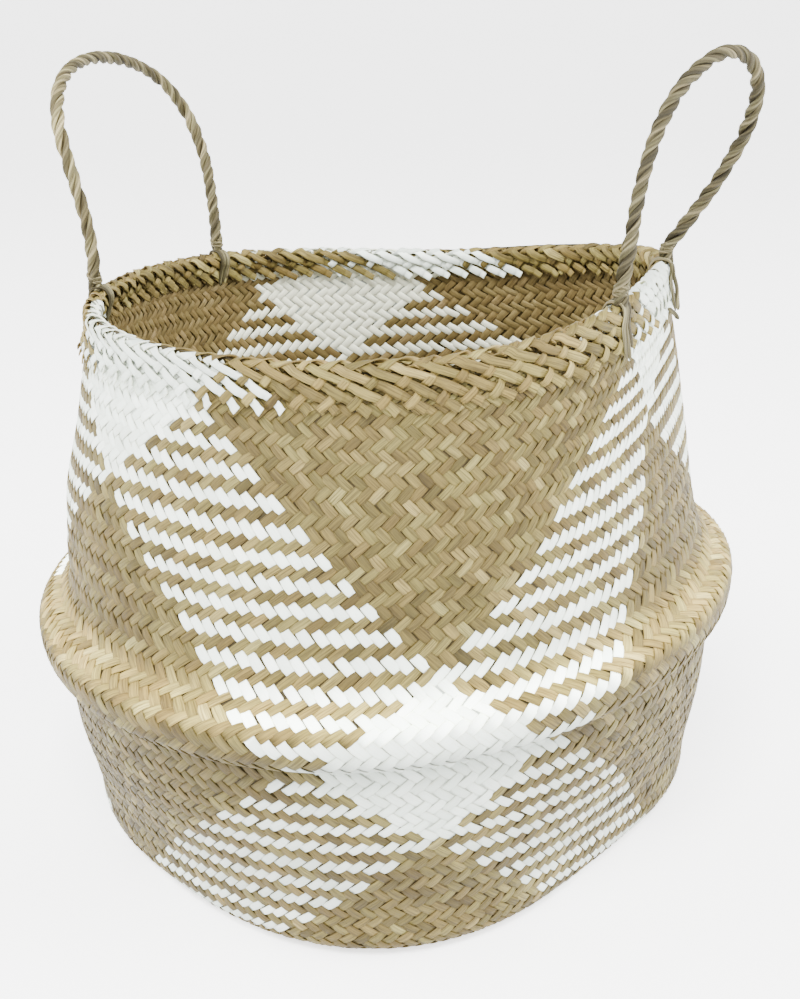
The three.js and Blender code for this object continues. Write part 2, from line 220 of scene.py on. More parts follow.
# Weave: strips slant both ways. A place on the cloth is given in pitches round (rightwards
# seen from outside, from the photograph's front) and rows down.
strips_round = 168
camera_bearing = math.radians(-71.25)
first_angle = camera_bearing + math.radians(8.14)
# The numbers in run_knots, drift_round and drift_along weren't chosen by hand. They are the results of
# the builder's own scratch script, which fitted the weave to the photograph, and were rounded.
row_knots = (-4, -1, 2, 5, 8, 10, 11.5, 13, 15, 18, 21, 24.5)
run_knots = (306, 290, 259, 224, 191, 166, 148, 125, 98, 65, 26, -11)
# How a hand-woven cloth drifts, at four rows. Round the body in radians: the same all round, then by
# the cosine and sine of the bearing from the camera, and of twice that. Along it in millimetres: the
# four last of those parts.
drift_rows = (-4, 4, 12, 24.5)
drift_round = np.array([
    [0.05, 0.02, -0.02, 0, 0.06],
    [-0.08, 0.03, -0.16, 0.1, 0.06],
    [0.01, 0, 0.06, -0.04, 0.02],
    [-0.05, -0.03, 0.07, 0.05, 0.02],
])
drift_along = np.array([
    [-2, -2, 0, -4],
    [3.5, 8, -4.5, -3.5],
    [-3, 5, 2.5, -4.5],
    [-4, 0.5, 12, 1],
])
table_rows = np.arange(-6, 30, 0.05)
eased_steps = 22


def eased(values):
    """Values over the table's rows, with their corners eased."""
    window = np.hanning(2 * eased_steps + 1)
    window /= window.sum()
    more = np.arange(1, eased_steps + 1)
    before = values[0] - more[::-1] * (values[1] - values[0])
    after = values[-1] + more * (values[-1] - values[-2])
    return np.convolve(np.r_[before, values, after], window, "valid")


def run_table():
    """The run up the profile at each of the table's rows, straight on beyond the knots."""
    slopes = np.diff(run_knots) / np.diff(row_knots)
    run = np.interp(table_rows, row_knots, run_knots)
    run += np.minimum(table_rows - row_knots[0], 0) * slopes[0]
    run += np.maximum(table_rows - row_knots[-1], 0) * slopes[-1]
    return eased(run)


row_run = run_table()
round_tables = [eased(np.interp(table_rows, drift_rows, column)) for column in drift_round.T]
along_tables = [eased(np.interp(table_rows, drift_rows, column)) for column in drift_along.T]


def drift_waves(angle):
    """The waves by which the weave drifts, in the order of the columns of drift_round."""
    view = angle - camera_bearing
    return np.ones_like(view), np.cos(view), np.sin(view), np.cos(2 * view), np.sin(2 * view)


def cloth_point(pitches, rows):
    """A point of the cloth's outer face, in millimetres."""
    angle = 2 * math.pi * pitches / strips_round + first_angle
    waves = drift_waves(angle)
    run = np.interp(rows, table_rows, row_run)
    for wave, table in zip(waves[1:], along_tables):
        run = run + wave * np.interp(rows, table_rows, table)
    height = np.interp(run, profile_run, profile_z)
    bearing = even_bearing(angle, height)
    for wave, table in zip(waves, round_tables):
        bearing = bearing + wave * np.interp(rows, table_rows, table)
    return on_body(np.interp(run, profile_run, profile_radius), height, bearing)


def cloth_frame(pitches, rows, step=0.1):
    """Point, outward direction, and the steps to the next pitch and the next row."""
    point = cloth_point(pitches, rows)
    per_pitch = (cloth_point(pitches + step, rows) - cloth_point(pitches - step, rows)) / (2 * step)
    per_row = (cloth_point(pitches, rows + step) - cloth_point(pitches, rows - step)) / (2 * step)
    return point, unit(np.cross(per_row, per_pitch)), per_pitch, per_row


# Materials. Every strip carries its length run, its place across, and two chance values.
class Nodes:
    """Short ways to add shader nodes and join them."""

    def __init__(self, name):
        self.material = bpy.data.materials.new(name)
        self.material.use_nodes = True
        self.tree = self.material.node_tree
        self.shader = self.tree.nodes["Principled BSDF"]

    def add(self, kind, **settings):
        node = self.tree.nodes.new(kind)
        for key, value in settings.items():
            setattr(node, key, value)
        return node

    def put(self, target, value):
        if isinstance(value, bpy.types.NodeSocket):
            self.tree.links.new(value, target)
        else:
            target.default_value = value

    def surface(self, **values):
        """Gives the shader's inputs their values. Underscores stand for spaces."""
        for name, value in values.items():
            self.put(self.shader.inputs[name.replace("_", " ")], value)

    def attribute(self, name, output="Fac"):
        return self.add("ShaderNodeAttribute", attribute_name=name).outputs[output]

    def math(self, operation, first, second=0.0):
        node = self.add("ShaderNodeMath", operation=operation)
        self.put(node.inputs[0], first)
        self.put(node.inputs[1], second)
        return node.outputs[0]

    def grain(self, run_scale, across_scale, detail, roughness):
        """Noise that is long along the strip, fine across it, and different on each strip."""
        place = self.add("ShaderNodeCombineXYZ")
        scales = (("run", run_scale), ("across", across_scale), ("tone", tone_scale))
        for target, (name, scale) in zip(place.inputs, scales):
            self.put(target, self.math("MULTIPLY", self.attribute(name), scale))
        node = self.add("ShaderNodeTexNoise")
        self.put(node.inputs["Vector"], place.outputs[0])
        node.inputs["Scale"].default_value = 1.0
        node.inputs["Detail"].default_value = detail
        node.inputs["Roughness"].default_value = roughness
        return node.outputs["Fac"]

    def ramp(self, share, stops):
        node = self.add("ShaderNodeValToRGB")
        elements = node.color_ramp.elements
        while len(elements) < len(stops):
            elements.new(0.5)
        for element, (place, colour) in zip(elements, stops):
            element.position = place
            element.color = (colour, colour, colour, 1) if isinstance(colour, float) else (*colour, 1)
        self.put(node.inputs["Fac"], share)
        return node.outputs["Color"]

    def blend(self, share, first, second, kind="MIX"):
        node = self.add("ShaderNodeMix", data_type="RGBA", blend_type=kind)
        self.put(node.inputs["Factor"], share)
        self.put(node.inputs["A"], first)
        self.put(node.inputs["B"], second)
        return node.outputs["Result"]

    def paint_edge_shade(self, colour, darkest):
        """Painted shade: the two edges of a strip are made darker, where it meets its neighbours."""
        away = self.math("MULTIPLY", self.math("ABSOLUTE", self.attribute("across")), 2.0)
        return self.blend(1.0, colour, self.ramp(away, [(0.7, 1.0), (0.98, darkest)]), "MULTIPLY")

    def finish(self, colour, grain, fine, roughness, specular, bump_strength, bump_depth):
        """Joins colour, roughness and relief to the shader."""
        # The shade attribute scales the colour: painted light and shade on the cloth, core and inner border.
        colour = self.blend(1.0, colour, self.attribute("shade", "Color"), "MULTIPLY")
        least_rough, rough_span = roughness
        bump = self.add("ShaderNodeBump")
        bump.inputs["Strength"].default_value = bump_strength
        bump.inputs["Distance"].default_value = bump_depth
        self.put(bump.inputs["Height"], self.math("ADD", grain, self.math("MULTIPLY", fine, fine_relief)))
        self.surface(
            Base_Color=colour, Specular_IOR_Level=specular, Normal=bump.outputs["Normal"],
            Roughness=self.math("ADD", self.math("MULTIPLY", grain, rough_span), least_rough),
        )
        return self.material


tone_scale = 91.7
fine_relief = 0.6
hue_repeat = 7.3
hue_stops = [(0.0, (1.06, 0.985, 0.97)), (0.5, (1.0, 1.0, 1.0)), (1.0, (0.97, 1.015, 0.96))]
streak_stops = [(0.36, (0.42, 0.38, 0.33)), (0.5, (1.0, 1.0, 1.0)), (0.64, (1.34, 1.32, 1.26))]
fibre_stops = [(0.35, (0.66, 0.63, 0.58)), (0.6, (1.12, 1.12, 1.1))]
natural_stops = [
    (0.10, (0.030, 0.022, 0.0055)),
    (0.30, (0.056, 0.042, 0.0110)),
    (0.5, (0.084, 0.065, 0.0180)),
    (0.70, (0.130, 0.105, 0.0340)),
    (0.90, (0.205, 0.174, 0.0700)),
]
# Painted light: how much paler the cloth's inner side is made.
natural_inner_painted_light = (1.65, 1.55, 2.0)
rope_stops = [
    (0.10, (0.020, 0.016, 0.007)),
    (0.30, (0.050, 0.042, 0.019)),
    (0.5, (0.120, 0.104, 0.050)),
    (0.70, (0.260, 0.232, 0.125)),
    (0.90, (0.540, 0.495, 0.310)),
]
# Painted shade: how much darker the rope's grooves are made.
rope_groove_painted_shade = (0.26, 0.23, 0.18)
white_stops = [(0.0, (0.50, 0.55, 0.49)), (0.6, (0.58, 0.64, 0.575)), (1.0, (0.64, 0.69, 0.63))]
white_streak_stops = [(0.3, (0.86, 0.86, 0.82)), (0.5, (1.0, 1.0, 1.0))]
worn_colour = (0.42, 0.37, 0.24, 1)
# Painted light: the paler colour that a white strip's inner side is given.
inner_white_painted_light = (0.84, 0.85, 0.66, 1)


def natural_material(name, stops, inner_painted_shading):
    """Dry plant strip: a chance tone and hue for each strip, with streaks and fibres along it."""
    nodes = Nodes(name)
    grain = nodes.grain(55, 7, 3.0, 0.65)
    fine = nodes.grain(130, 22, 2.0, 0.6)
    slow = nodes.grain(9, 0.6, 2.0, 0.5)
    tone = nodes.math("MULTIPLY", nodes.attribute("tone"), 0.34)
    patch = nodes.math("MULTIPLY", nodes.attribute("patch"), 0.32)
    slow_part = nodes.math("ADD", nodes.math("MULTIPLY", slow, 0.34), 0.02)
    colour = nodes.ramp(nodes.math("ADD", nodes.math("ADD", tone, patch), slow_part), stops)
    hue = nodes.math("FRACT", nodes.math("MULTIPLY", nodes.attribute("tone"), hue_repeat))
    colour = nodes.blend(1.0, colour, nodes.ramp(hue, hue_stops), "MULTIPLY")
    colour = nodes.blend(0.85, colour, nodes.ramp(grain, streak_stops), "MULTIPLY")
    colour = nodes.blend(0.6, colour, nodes.ramp(fine, fibre_stops), "MULTIPLY")
    # Painted light and shade on the inner side: paler on the cloth, darker in the rope's grooves; and more
    # even.
    inner_painted = nodes.blend(1.0, colour, (*inner_painted_shading, 1), "MULTIPLY")
    inner_painted_plain = [middle * painted for middle, painted in zip(stops[2][1], inner_painted_shading)]
    inner_painted = nodes.blend(0.5, inner_painted, (*inner_painted_plain, 1))
    inner = nodes.math("SUBTRACT", 1.0, nodes.attribute("outer"))
    colour = nodes.blend(inner, nodes.paint_edge_shade(colour, 0.58), inner_painted)
    return nodes.finish(colour, grain, fine, (0.45, 0.25), 0.16, 0.55, 0.0005)


def white_material():
    """Matt white paint on a strip, worn through in places."""
    nodes = Nodes("white_strip")
    grain = nodes.grain(45, 6, 3.0, 0.65)
    fine = nodes.grain(120, 20, 2.0, 0.6)
    wear = nodes.grain(70, 3.5, 4.0, 0.7)
    colour = nodes.ramp(nodes.attribute("patch"), white_stops)
    colour = nodes.blend(0.8, colour, nodes.ramp(grain, white_streak_stops), "MULTIPLY")
    colour = nodes.paint_edge_shade(colour, 0.8)
    colour = nodes.blend(nodes.ramp(wear, [(0.66, 0.0), (0.76, 1.0)]), colour, worn_colour)
    # Painted light: the inner side of a white strip is given a paler colour.
    inner = nodes.math("SUBTRACT", 1.0, nodes.attribute("outer"))
    colour = nodes.blend(nodes.math("MULTIPLY", inner, 0.9), colour, inner_white_painted_light)
    return nodes.finish(colour, grain, fine, (0.45, 0.2), 0.35, 0.4, 0.0004)


materials = {
    "natural_strip": natural_material("natural_strip", natural_stops, natural_inner_painted_light),
    "white_strip": white_material(),
    "rope_strand": natural_material("rope_strand", rope_stops, rope_groove_painted_shade),
}


# Meshes of many ribbons or round strands at once.
def add_mesh(name, points, quads, attributes, slot):
    """A smooth mesh from points in millimetres, with its float attributes per point."""
    mesh = bpy.data.meshes.new(name)
    mesh.vertices.add(len(points))
    mesh.vertices.foreach_set("co", (points * mm).astype(np.float32).ravel())
    mesh.loops.add(quads.size)
    mesh.loops.foreach_set("vertex_index", quads.astype(np.int32).ravel())
    mesh.polygons.add(len(quads))
    mesh.polygons.foreach_set("loop_start", np.arange(0, quads.size, 4, dtype=np.int32))
    mesh.update(calc_edges=True)
    mesh.shade_smooth()
    for key, values in attributes.items():
        layer = mesh.attributes.new(key, "FLOAT", "POINT")
        layer.data.foreach_set("value", np.broadcast_to(values, len(points)).astype(np.float32))
    mesh.materials.append(materials[slot])
    piece = bpy.data.objects.new(name, mesh)
    bpy.context.scene.collection.objects.link(piece)
    return piece


def settle(piece, node, body="basket"):
    """Hangs a piece on the body it rides on, and hides the CAD node that it stands in for."""
    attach(piece, body)
    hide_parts(node)


# Across and out, for the six corners of a strip's section.
ribbon_section = np.array([(-1, 0), (-0.8, 1), (0.8, 1), (1, 0), (0.8, -1), (-0.8, -1)])
ribbon_corners = len(ribbon_section)
section_across = ribbon_section[:, 0] * 0.5
section_outer = ribbon_section[:, 1] * 0.5 + 0.5


def ribbon_points(path, outward, half_width, half_thickness):
    """Cross-sections along ribbons: arrays of ribbon, station, corner and coordinate."""
    along = unit(np.gradient(path, axis=1))
    up = unit(outward - along * (outward * along).sum(-1, keepdims=True))
    side = np.cross(up, along)
    across = ribbon_section[:, 0] * np.broadcast_to(half_width, path.shape[:2])[..., None]
    out = ribbon_section[:, 1] * half_thickness
    return path[:, :, None] + side[:, :, None] * across[..., None] + up[:, :, None] * out[:, None]


def tube_quads(lines, stations, corners, closed=False):
    """Faces of tubes whose points are stored by line, station and corner."""
    steps = stations if closed else stations - 1
    station, corner = np.meshgrid(np.arange(steps), np.arange(corners), indexing="ij")
    following = (station + 1) % stations
    beside = (corner + 1) % corners
    one = np.stack([
        station * corners + corner, following * corners + corner,
        following * corners + beside, station * corners + beside,
    ], -1).reshape(-1, 4)
    if not closed:
        last = (stations - 1) * corners
        caps = []
        for low in range(corners // 2 - 1):
            cap = np.array((low, low + 1, corners - 2 - low, corners - 1 - low))
            caps += [cap, last + cap[::-1]]
        one = np.vstack([one, caps])
    offsets = np.arange(lines) * stations * corners
    return (one[None] + offsets[:, None, None]).reshape(-1, 4)


def add_ribbons(name, slot, path, outward, half_width, half_thickness, along, tone, patch, shade):
    """Flat strips as one mesh. along is the length run, in metres; tone and patch are chances."""
    shape = path.shape[:2] + (ribbon_corners,)
    attributes = {"across": section_across, "outer": section_outer}
    for key, values in (("run", along), ("tone", tone), ("patch", patch), ("shade", shade)):
        attributes[key] = np.asarray(values)[..., None]
    attributes = {key: np.broadcast_to(values, shape).ravel() for key, values in attributes.items()}
    points = ribbon_points(path, outward, half_width, half_thickness)
    return add_mesh(name, points.reshape(-1, 3), tube_quads(*shape), attributes, slot)


def wander(count, levels, sizes, waves):
    """Slow sideways wander of each strip along its length."""
    phases = random.uniform(0, 2 * math.pi, (len(sizes), count, 1))
    return sum(size * np.sin(levels * wave + phase) for size, wave, phase in zip(sizes, waves, phases))


def strip_chance(path):
    """A chance value for each strip, the same along it."""
    return np.broadcast_to(random.uniform(0, 1, (len(path), 1)), path.shape[:2])


def flat_topped(wave, flatness):
    """A wave whose tops and bottoms are flattened, as a strip lies over and under others."""
    return np.tanh(flatness * wave) / math.tanh(flatness)


# The cloth: every strip is its own ribbon, over two and under two. Levels count its crossings.
weave_height = 0.58
weave_flatness = 1.9
strip_half_thickness = 0.3
cloth_depth = 1.2
first_crossing = -13
last_crossing = 102
stations_per_crossing = 2
pitches_per_crossing = 0.5
rows_per_crossing = 0.25
twill_repeat = 4

# Three groups of sixteen neighbouring strips each way are white. The first strip, by the slant.
pattern_repeat = strips_round // 3
white_strips = 16
first_white = {1: -35, -1: 19}


def per_float(levels, first, low, high):
    """A chance value for each float and strip, the same along one float."""
    index = np.floor((levels - first) / twill_repeat).astype(int)
    index = index - index.min()
    values = random.uniform(low, high, (strips_round, index.max() + 1))
    return values[np.arange(strips_round)[:, None], index]


def weave_strips(slant):
    """Paths of all strips that slant one way. slant is 1 for down to the right, -1 for down to the left."""
    steps = (last_crossing - first_crossing) * stations_per_crossing + 1
    levels = np.linspace(first_crossing, last_crossing, steps)[None, :]
    sway = wander(strips_round, levels, (0.05, 0.04, 0.03), (0.09, 0.31, 0.83))
    pitches = np.arange(strips_round)[:, None] + slant * levels * pitches_per_crossing + sway
    rows = (levels - slant * sway) * rows_per_crossing
    point, outward, per_pitch, per_row = cloth_frame(pitches, rows)
    round_step, down_step = slant * pitches_per_crossing * per_pitch, rows_per_crossing * per_row
    ahead = down_step + round_step
    beside = down_step - round_step
    pitch_width = np.linalg.norm(np.cross(ahead, beside), axis=-1) / np.linalg.norm(ahead, axis=-1)
    top_centre = 0.5 if slant > 0 else 2.5
    wave = np.cos(2 * math.pi * (levels - top_centre) / twill_repeat)
    lift = flat_topped(wave, weave_flatness)
    float_start = top_centre - twill_repeat / 2
    swell = per_float(levels, float_start, 0.85, 1.3)
    width_share = per_float(levels, float_start, 0.94, 1.03)
    patch = per_float(levels, float_start, 0, 1)
    height = weave_height * lift * np.where(lift > 0, swell, 1)
    path = point + outward * (height - cloth_depth)[..., None]
    strip_width = random.uniform(0.96, 1.04, (strips_round, 1))
    half_width = 0.5 * pitch_width * (1.0 + 0.05 * wave) * strip_width * width_share
    return path, outward, half_width, length_along(path) * mm, strip_chance(path), patch


def is_white(index, slant):
    return (index - first_white[slant]) % pattern_repeat < white_strips


def add_cloth():
    for slant, label in ((1, "right"), (-1, "left")):
        path, outward, half_width, along, tone, patch = weave_strips(slant)
        rows = np.linspace(first_crossing, last_crossing, path.shape[1]) * rows_per_crossing
        index = np.arange(strips_round)
        coloured = is_white(index, slant)
        plain = index[~coloured]
        half = len(plain) // 2
        for name, chosen, slot in (
            ("white", index[coloured], "white_strip"),
            ("natural_a", plain[:half], "natural_strip"),
            ("natural_b", plain[half:], "natural_strip"),
        ):
            piece = add_ribbons(
                f"strips_{label}_{name}", slot, path[chosen], outward[chosen], half_width[chosen],
                strip_half_thickness, along[chosen], tone[chosen], patch[chosen],
                cloth_painted_light(outward[chosen], rows, slot),
            )
            settle(piece, "woven_body")


# Painted light and shade: how much paler strips that face up are, how much darker those facing down and under
# the fold.
cloth_painted_light_sizes = {"natural_strip": (3.7, 0.6, 0.15), "white_strip": (2.4, 1.6, 0.38)}
lit_from_rise = 0.28
darkest_rise = -0.2
fold_row = 12.9
sheltered_rows = 5.0


def cloth_painted_light(outward, rows, slot):
    """Painted light on strips facing up, atop the belly's roll; painted shade on those facing down and under
    it.
    """
    above, below, under_fold = cloth_painted_light_sizes[slot]
    rise = outward[..., 2]
    facing = 1 + above * np.maximum(rise - lit_from_rise, 0) + below * np.clip(rise, darkest_rise, 0)
    past_fold = smooth_share(rows, fold_row - 0.4, fold_row)
    return facing * (1 - under_fold * past_fold * np.exp(-(rows - fold_row) / sheltered_rows))


# The core is a thin sheet with painted shade, the cloth's dark inside, which shows in the gaps between
# strips.
core_rows = np.arange(-3.6, 25.4, 0.25)
core_half_thickness = 0.06
core_painted_shade = {"natural": 0.35, "white": 0.62}


def middle_of_base(point):
    """A small ring about the middle of the base, level with the last row of the cloth."""
    last = point[:, -1:]
    return last * (0.01, 0.01, 0) + last.mean(0) * (0, 0, 1)


def add_core():
    """A thin sheet between the strips that slant one way and the other."""
    pitches = np.arange(strips_round)[:, None] + np.zeros(len(core_rows))
    point, outward, _, _ = cloth_frame(pitches, np.broadcast_to(core_rows, pitches.shape))
    # Under the base mat the core closes over the whole base.
    point = np.concatenate([point, middle_of_base(point)], 1)
    outward = np.concatenate([outward, outward[:, -1:]], 1)
    rows = np.append(core_rows, core_rows[-1])
    outer_face = point - outward * (cloth_depth - core_half_thickness)
    inner_face = point - outward * (cloth_depth + core_half_thickness)
    points = np.concatenate([outer_face, inner_face[:, ::-1]], 1).reshape(-1, 3)
    quads = tube_quads(1, strips_round, 2 * len(rows), closed=True).reshape(strips_round, 2 * len(rows), 4)
    rows_both = np.r_[rows, rows[::-1]][None, :]
    place = np.arange(strips_round)[:, None] + 0.5
    both_white = is_white(place - 2 * rows_both, 1) & is_white(place + 2 * rows_both, -1)
    for name, chosen in (("natural", ~both_white), ("white", both_white)):
        attributes = dict(run=0, across=0, outer=1, tone=0.3, patch=0.3, shade=core_painted_shade[name])
        used, corners = np.unique(quads[chosen], return_inverse=True)
        piece = add_mesh(
            f"cloth_core_{name}", points[used], corners.reshape(-1, 4), attributes, f"{name}_strip",
        )
        settle(piece, "woven_body")


# The flat base inside the turned-in cloth: the same twill, laid straight across.
mat_pitch = 4.9
mat_height = 1.75
mat_weave_height = 0.62
mat_half_width = mat_pitch * 0.47
mat_inset = 8
mat_reach = 33
mat_bearing = base_corner_bearing + math.radians(45)
fewest_stations = 4


def mat_paths(direction):
    """Lines of the mat's strips inside the base's outline. direction is 1 for one way, -1 for the other."""
    crossings = np.arange(-mat_reach * 2, mat_reach * 2 + 1) / 2
    paths = []
    for strip in range(-mat_reach, mat_reach + 1):
        level = direction * (crossings - strip)
        wave = direction * np.cos(2 * math.pi * (level - 0.5) / twill_repeat)
        x, y = (crossings * mat_pitch, np.full_like(crossings, strip * mat_pitch))[::direction]
        away = np.hypot(x, y)
        bearing = np.arctan2(y, x) + mat_bearing
        height = mat_height + mat_weave_height * flat_topped(wave, weave_flatness)
        inside = away < (base_radius - mat_inset) * plan_share(bearing, np.zeros_like(bearing))
        if inside.sum() >= fewest_stations:
            paths.append(np.stack([away * np.cos(bearing), away * np.sin(bearing), height], -1)[inside])
    return paths


def add_base_mat():
    for direction, label in ((1, "a"), (-1, "b")):
        paths = mat_paths(direction)
        # Shorter strips are stretched to the longest one's number of stations.
        longest = max(len(path) for path in paths)
        path = np.array([point_at(np.linspace(0, len(p) - 1, longest), np.arange(len(p)), p) for p in paths])
        outward = np.broadcast_to((0.0, 0.0, 1.0), path.shape)
        piece = add_ribbons(
            f"base_mat_{label}", "natural_strip", path, outward, mat_half_width, strip_half_thickness,
            length_along(path) * mm, strip_chance(path), strip_chance(path), 1.0,
        )
        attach(piece, "basket")


# Rim: a doubled border of wider strips outside and inside, and a twisted edge on top.
wall_middle_radius = mouth_radius - wall_thickness / 2
border_strips = 84
border_pitch = 2 * math.pi * wall_middle_radius / border_strips
pitches_per_mm = strips_round / (2 * math.pi * wall_middle_radius)
edge_top = 5.5
border_slopes = ((0, 24), (8, 27), (15, 33), (24, 46))
crossing_slope = 47
border_stations = 44
border_layer = wall_thickness / 2 + 0.75
border_lift = 0.9
border_flatness = 2.2
border_half_thickness = 0.36
first_float_depth = 4.8
tip_length = 4.5
border_reach = {1: 20.6, -1: 16.6}
# Where the two kinds of strip start, how much sooner they end, their way round, width, lift and
# white group.
border_kinds = {
    "falling": dict(start=6.4, sooner=0, way=1, width=4.6, lift=1, white=(-38.5, -19)),
    "rising": dict(start=2.6, sooner=1.5, way=-1, width=4.0, lift=1.35, white=(-36, -19)),
}
white_inside = (-43, -29)
# How much paler the border's strips are than the wall's, outside and inside; inside, it is painted light.
border_paleness_and_painted_light = {"white_strip": {1: 0.86, -1: 1.2}, "natural_strip": {1: 1.4, -1: 1.45}}


def rim_bearing(pitches):
    """The bearing of a place on the rim, with the weave's own drift there."""
    angle = 2 * math.pi * pitches / strips_round + first_angle
    drift = sum(wave * part for wave, part in zip(drift_waves(angle), drift_round[0]))
    return even_bearing(angle, np.full_like(angle, body_height)) + drift


def rim_wall_point(pitches, depth, out):
    """A point beside the wall, depth below the edge's top and out from the wall's middle."""
    height = body_height + edge_top - depth
    level = np.minimum(height, body_height)
    point = on_body(wall_radius(level) - wall_thickness / 2 + out, level, rim_bearing(pitches))
    point[..., 2] += height - level
    return point


def rim_outward(pitches):
    bearing = rim_bearing(pitches)
    return np.stack([np.cos(bearing), np.sin(bearing), np.zeros_like(bearing)], -1)


def in_white_group(pitches, group):
    start, end = group
    return (pitches - start) % pattern_repeat < end - start


def border_lattice():
    """How far the two kinds of border strip travel sideways, by depth below the edge's top."""
    depths = np.linspace(0, 26, 261)
    slopes = np.interp(depths, *zip(*border_slopes))
    step = depths[1] - depths[0]
    falling = np.r_[0, np.cumsum(1 / np.tan(np.radians(slopes[1:])) * step)]
    return depths, falling, depths / math.tan(math.radians(crossing_slope))


def add_two_tone(stem, node, side, coloured, path, outward, half_width, half_thickness):
    """The white and the natural strips of one kind, a mesh each. side is 1 outside and -1 inside."""
    along, tone, patch = length_along(path) * mm, strip_chance(path), strip_chance(path)
    for name, chosen in (("white", coloured), ("natural", ~coloured)):
        slot = f"{name}_strip"
        piece = add_ribbons(
            f"{stem}_{name}", slot, path[chosen], outward[chosen], half_width[chosen], half_thickness,
            along[chosen], tone[chosen], patch[chosen], border_paleness_and_painted_light[slot][side],
        )
        settle(piece, node)


def add_border(side):
    """side is 1 outside and -1 inside. Falling strips end in a cut; rising ones cross between."""
    depths, falling, rising = border_lattice()
    level_at = (falling + rising) / border_pitch
    first_float = np.interp(first_float_depth, depths, level_at)
    label = "outer" if side > 0 else "inner"
    one_each = (border_strips, 1)
    for kind, travel, shift in (("falling", falling, 0), ("rising", rising, first_float)):
        about = border_kinds[kind]
        end = border_reach[side] - about["sooner"]
        trims = random.uniform(-0.9, 0.9, one_each)
        depth = about["start"] + (end + trims - about["start"]) * np.linspace(0, 1, border_stations)
        home = (np.arange(border_strips)[:, None] + shift) * 2.0
        sway = wander(border_strips, depth, (0.10, 0.06), (0.21, 0.55))
        pitches = home + side * about["way"] * np.interp(depth, depths, travel) * pitches_per_mm + sway
        # On top where the level is even for the falling strips, odd for the rising ones.
        level = np.interp(depth, depths, level_at) - first_float
        wave = about["way"] * np.cos(math.pi * level)
        chance = random.uniform(0.85, 1.25, one_each) * about["lift"]
        lift = border_lift * flat_topped(wave, border_flatness) * np.where(wave > 0, chance, 1)
        if kind == "falling":
            tip = smooth_share(depth, end - tip_length, end)
            lift = np.maximum(lift, 0.45 * tip) + random.uniform(0.3, 1.7, one_each) * tip ** 2
        path = rim_wall_point(pitches, depth, side * (border_layer + lift))
        outward = rim_outward(pitches) * side
        if kind == "falling":
            shingle = random.uniform(-0.05, 0.16, (border_strips, 1, 1))
            outward = unit(outward + shingle * np.cross(outward, unit(np.gradient(path, axis=1))))
        width = about["width"] * (0.93 + 0.07 * wave) * random.uniform(0.9, 1.04, one_each)
        group = about["white"] if side > 0 else white_inside
        add_two_tone(
            f"border_{label}_{kind}", f"border_{label}", side, in_white_group(home[:, 0], group),
            path, outward, width / 2, border_half_thickness,
        )


# The edge: the border strips turned over the wall's top, plaited as they cross it.
fold_depth = 3.5
crest_half_width = wall_thickness / 2 + 1.5
crest_half_height = 2.4
outer_tuck = 5.0
inner_tuck = 4.0
leaf_stations = 40
leaf_width = 4.5
leaf_half_thickness = 0.38


def crest_section():
    """The edge's section by the distance over it: out and up, and the outward direction there."""
    turn = np.linspace(0, math.pi, 81)
    arc = np.stack([crest_half_width * np.cos(turn), crest_half_height * np.sin(turn)], -1)
    line = np.vstack([(crest_half_width, -outer_tuck), arc, (-crest_half_width, -inner_tuck)])
    direction = unit(np.stack([crest_half_height * np.cos(turn), crest_half_width * np.sin(turn)], -1))
    direction = np.vstack([(1.0, 0.0), direction, (-1.0, 0.0)])
    return length_along(line) - outer_tuck, line, direction


def crest_paths(home, distance, travel, lift):
    """Lines over the edge. travel is in millimetres along the rim, lift is outward."""
    table, line, direction = crest_section()
    out, rise = (np.interp(distance, table, column) for column in line.T)
    level, tall = (np.interp(distance, table, column) for column in direction.T)
    pitches = home + travel * pitches_per_mm
    bearing = rim_bearing(pitches)
    height = body_height + edge_top - fold_depth + rise + lift * tall
    lean = wall_radius(np.minimum(height, body_height)) - mouth_radius
    radius = wall_middle_radius + lean + out + lift * level
    path = on_body(radius, np.full_like(bearing, body_height), bearing)
    path[..., 2] += height - body_height
    outward = rim_outward(pitches) * level[..., None]
    outward[..., 2] += tall
    return path, unit(outward)


def crest_travel(distance, crest_length):
    """Sideways travel of a strip: that of the border outside, straight over, and back inside."""
    depths, travel, _ = border_lattice()
    outside = np.interp(fold_depth - np.minimum(distance, 0), depths, travel)
    inside = np.interp(fold_depth + np.maximum(distance - crest_length, 0), depths, travel)
    over = np.interp(fold_depth, depths, travel) * (1 - 2 * distance / crest_length)
    return np.where(distance < 0, outside, np.where(distance > crest_length, -inside, over))


